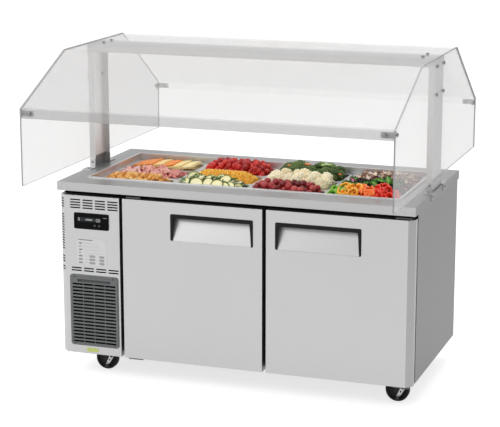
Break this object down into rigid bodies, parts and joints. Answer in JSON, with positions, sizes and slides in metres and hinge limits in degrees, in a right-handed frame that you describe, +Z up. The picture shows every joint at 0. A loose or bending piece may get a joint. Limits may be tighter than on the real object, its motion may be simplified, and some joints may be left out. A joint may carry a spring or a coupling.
{
  "type": "mobile salad bar",
  "caption": "Refrigerated salad bar on swivel casters: two-door cabinet, machine compartment with louvred front, well of removable pans, clear sneeze guard on end posts.",
  "frame": {"origin": "middle of the bounding box, on the floor", "axes": "+X to the right along the counter, +Y to the back, +Z up; the doors face -Y"},
  "size_m": [1.5106, 1.4096, 1.3578],
  "materials": {
    "pan_steel": "satin stainless, brighter on the flanges",
    "top_steel": "brushed stainless, soft mirror",
    "well_steel": "brushed stainless",
    "body_steel": "brushed stainless",
    "front_steel": "brushed stainless, even pale grey",
    "foam": "foamed insulation, out of sight",
    "liner_aluminium": "satin sheet",
    "frame_black": "matte black",
    "black_plastic": "black, moulded, half gloss",
    "display_window": "dark clear window",
    "button_grey": "light grey caps",
    "grille_steel": "mid grey painted sheet",
    "coil_aluminium": "aluminium fins and black cowl",
    "fan_black": "matte black blades",
    "compressor_black": "black paint, half gloss",
    "evaporator_cover": "pale moulded cover",
    "shelf_wire": "white coated wire",
    "pilaster_steel": "satin strip",
    "zinc": "bright zinc plate",
    "fork_black": "black coated pressed steel",
    "wheel_rubber": "black rubber on a black core",
    "door_liner_plastic": "pale grey moulded sheet",
    "gasket_rubber": "soft dark seal",
    "post_steel": "brushed stainless",
    "bracket_steel": "polished stainless",
    "bolt_steel": "plain steel, darker than the brackets",
    "clear_sheet": "clear sheet, 6 mm"
  },
  "bodies": {
    "cabinet": {"base_pan": "body_steel", "back_panel": "body_steel", "side_panels": "body_steel", "cabinet_foam": "foam", "cabinet_liner": "liner_aluminium", "machine_partition": "body_steel", "face_frame": "frame_black", "worktop": "top_steel", "well_tub": "well_steel", "adapter_bars": "well_steel", "machine_front": "front_steel", "control_bezel": "black_plastic", "control_display": "display_window", "intake_grille": "grille_steel", "condenser": "coil_aluminium", "compressor": "compressor_black", "evaporator_unit": "evaporator_cover", "shelves": "shelf_wire", "shelf_pilasters": "pilaster_steel", "hinge_plates": "zinc", "caster_plates": "zinc", "guard_posts": "post_steel", "guard_rail": "post_steel", "end_panels": "clear_sheet", "canopy": "clear_sheet", "guard_brackets": "bracket_steel", "guard_bolts": "bolt_steel"},
    "door_left": {"door_left_shell": "front_steel", "door_left_liner": "door_liner_plastic", "door_left_gasket": "gasket_rubber", "door_left_pull": "black_plastic"},
    "door_right": {"door_right_shell": "front_steel", "door_right_liner": "door_liner_plastic", "door_right_gasket": "gasket_rubber", "door_right_pull": "black_plastic"},
    "fork_front_left": {"caster_fork_front_left": "fork_black"},
    "wheel_front_left": {"caster_wheel_front_left": "wheel_rubber"},
    "fork_front_right": {"caster_fork_front_right": "fork_black"},
    "wheel_front_right": {"caster_wheel_front_right": "wheel_rubber"},
    "fork_rear_left": {"caster_fork_rear_left": "fork_black"},
    "wheel_rear_left": {"caster_wheel_rear_left": "wheel_rubber"},
    "fork_rear_right": {"caster_fork_rear_right": "fork_black"},
    "wheel_rear_right": {"caster_wheel_rear_right": "wheel_rubber"},
    "brake_left": {"brake_lever_left": "zinc"},
    "brake_right": {"brake_lever_right": "zinc"},
    "pan_rear_1": {"pan_rear_1": "pan_steel"},
    "pan_rear_2": {"pan_rear_2": "pan_steel"},
    "pan_rear_3": {"pan_rear_3": "pan_steel"},
    "pan_rear_4": {"pan_rear_4": "pan_steel"},
    "pan_middle_1": {"pan_middle_1": "pan_steel"},
    "pan_middle_2": {"pan_middle_2": "pan_steel"},
    "pan_middle_3": {"pan_middle_3": "pan_steel"},
    "pan_middle_4": {"pan_middle_4": "pan_steel"},
    "pan_front_1": {"pan_front_1": "pan_steel"},
    "pan_front_2": {"pan_front_2": "pan_steel"},
    "pan_front_3": {"pan_front_3": "pan_steel"},
    "pan_front_4": {"pan_front_4": "pan_steel"},
    "button_left": {"button_left": "button_grey"},
    "button_right": {"button_right": "button_grey"},
    "fan": {"condenser_fan": "fan_black"}
  },
  "joints": [
    {"name": "door_left_hinge", "type": "hinge", "parent": "cabinet", "child": "door_left", "pos_m": [-0.442, -0.355, 0.435], "axis": [0, 0, -1], "range_deg": [0, 100]},
    {"name": "door_right_hinge", "type": "hinge", "parent": "cabinet", "child": "door_right", "pos_m": [0.723, -0.355, 0.435], "axis": [0, 0, 1], "range_deg": [0, 100]},
    {"name": "swivel_front_left", "type": "hinge", "parent": "cabinet", "child": "fork_front_left", "pos_m": [-0.57, -0.245, 0.11], "axis": [0, 0, 1], "continuous": true},
    {"name": "roll_front_left", "type": "hinge", "parent": "fork_front_left", "child": "wheel_front_left", "pos_m": [-0.598, -0.245, 0.048], "axis": [0, 1, 0], "continuous": true},
    {"name": "swivel_front_right", "type": "hinge", "parent": "cabinet", "child": "fork_front_right", "pos_m": [0.688, -0.245, 0.11], "axis": [0, 0, 1], "continuous": true},
    {"name": "roll_front_right", "type": "hinge", "parent": "fork_front_right", "child": "wheel_front_right", "pos_m": [0.66, -0.245, 0.048], "axis": [0, 1, 0], "continuous": true},
    {"name": "swivel_rear_left", "type": "hinge", "parent": "cabinet", "child": "fork_rear_left", "pos_m": [-0.57, 0.285, 0.11], "axis": [0, 0, 1], "continuous": true},
    {"name": "roll_rear_left", "type": "hinge", "parent": "fork_rear_left", "child": "wheel_rear_left", "pos_m": [-0.598, 0.285, 0.048], "axis": [0, 1, 0], "continuous": true},
    {"name": "swivel_rear_right", "type": "hinge", "parent": "cabinet", "child": "fork_rear_right", "pos_m": [0.66, 0.285, 0.11], "axis": [0, 0, 1], "continuous": true},
    {"name": "roll_rear_right", "type": "hinge", "parent": "fork_rear_right", "child": "wheel_rear_right", "pos_m": [0.632, 0.285, 0.048], "axis": [0, 1, 0], "continuous": true},
    {"name": "brake_left_tilt", "type": "hinge", "parent": "fork_front_left", "child": "brake_left", "pos_m": [-0.572, -0.2665, 0.062], "axis": [0, 1, 0], "range_deg": [0, 18]},
    {"name": "brake_right_tilt", "type": "hinge", "parent": "fork_front_right", "child": "brake_right", "pos_m": [0.686, -0.2665, 0.062], "axis": [0, 1, 0], "range_deg": [0, 18]},
    {"name": "pan_rear_1_lift", "type": "slide", "parent": "cabinet", "child": "pan_rear_1", "axis": [0, 0, 1], "range_m": [0, 0.15]},
    {"name": "pan_rear_2_lift", "type": "slide", "parent": "cabinet", "child": "pan_rear_2", "axis": [0, 0, 1], "range_m": [0, 0.15]},
    {"name": "pan_rear_3_lift", "type": "slide", "parent": "cabinet", "child": "pan_rear_3", "axis": [0, 0, 1], "range_m": [0, 0.15]},
    {"name": "pan_rear_4_lift", "type": "slide", "parent": "cabinet", "child": "pan_rear_4", "axis": [0, 0, 1], "range_m": [0, 0.15]},
    {"name": "pan_middle_1_lift", "type": "slide", "parent": "cabinet", "child": "pan_middle_1", "axis": [0, 0, 1], "range_m": [0, 0.15]},
    {"name": "pan_middle_2_lift", "type": "slide", "parent": "cabinet", "child": "pan_middle_2", "axis": [0, 0, 1], "range_m": [0, 0.15]},
    {"name": "pan_middle_3_lift", "type": "slide", "parent": "cabinet", "child": "pan_middle_3", "axis": [0, 0, 1], "range_m": [0, 0.15]},
    {"name": "pan_middle_4_lift", "type": "slide", "parent": "cabinet", "child": "pan_middle_4", "axis": [0, 0, 1], "range_m": [0, 0.15]},
    {"name": "pan_front_1_lift", "type": "slide", "parent": "cabinet", "child": "pan_front_1", "axis": [0, 0, 1], "range_m": [0, 0.15]},
    {"name": "pan_front_2_lift", "type": "slide", "parent": "cabinet", "child": "pan_front_2", "axis": [0, 0, 1], "range_m": [0, 0.15]},
    {"name": "pan_front_3_lift", "type": "slide", "parent": "cabinet", "child": "pan_front_3", "axis": [0, 0, 1], "range_m": [0, 0.15]},
    {"name": "pan_front_4_lift", "type": "slide", "parent": "cabinet", "child": "pan_front_4", "axis": [0, 0, 1], "range_m": [0, 0.15]},
    {"name": "button_left_press", "type": "slide", "parent": "cabinet", "child": "button_left", "axis": [0, 1, 0], "range_m": [0, 0.0012], "stiffness_N_per_m": 300},
    {"name": "button_right_press", "type": "slide", "parent": "cabinet", "child": "button_right", "axis": [0, 1, 0], "range_m": [0, 0.0012], "stiffness_N_per_m": 300},
    {"name": "fan_spin", "type": "hinge", "parent": "cabinet", "child": "fan", "pos_m": [-0.596, -0.214, 0.2965], "axis": [0, 1, 0], "continuous": true}
  ]
}
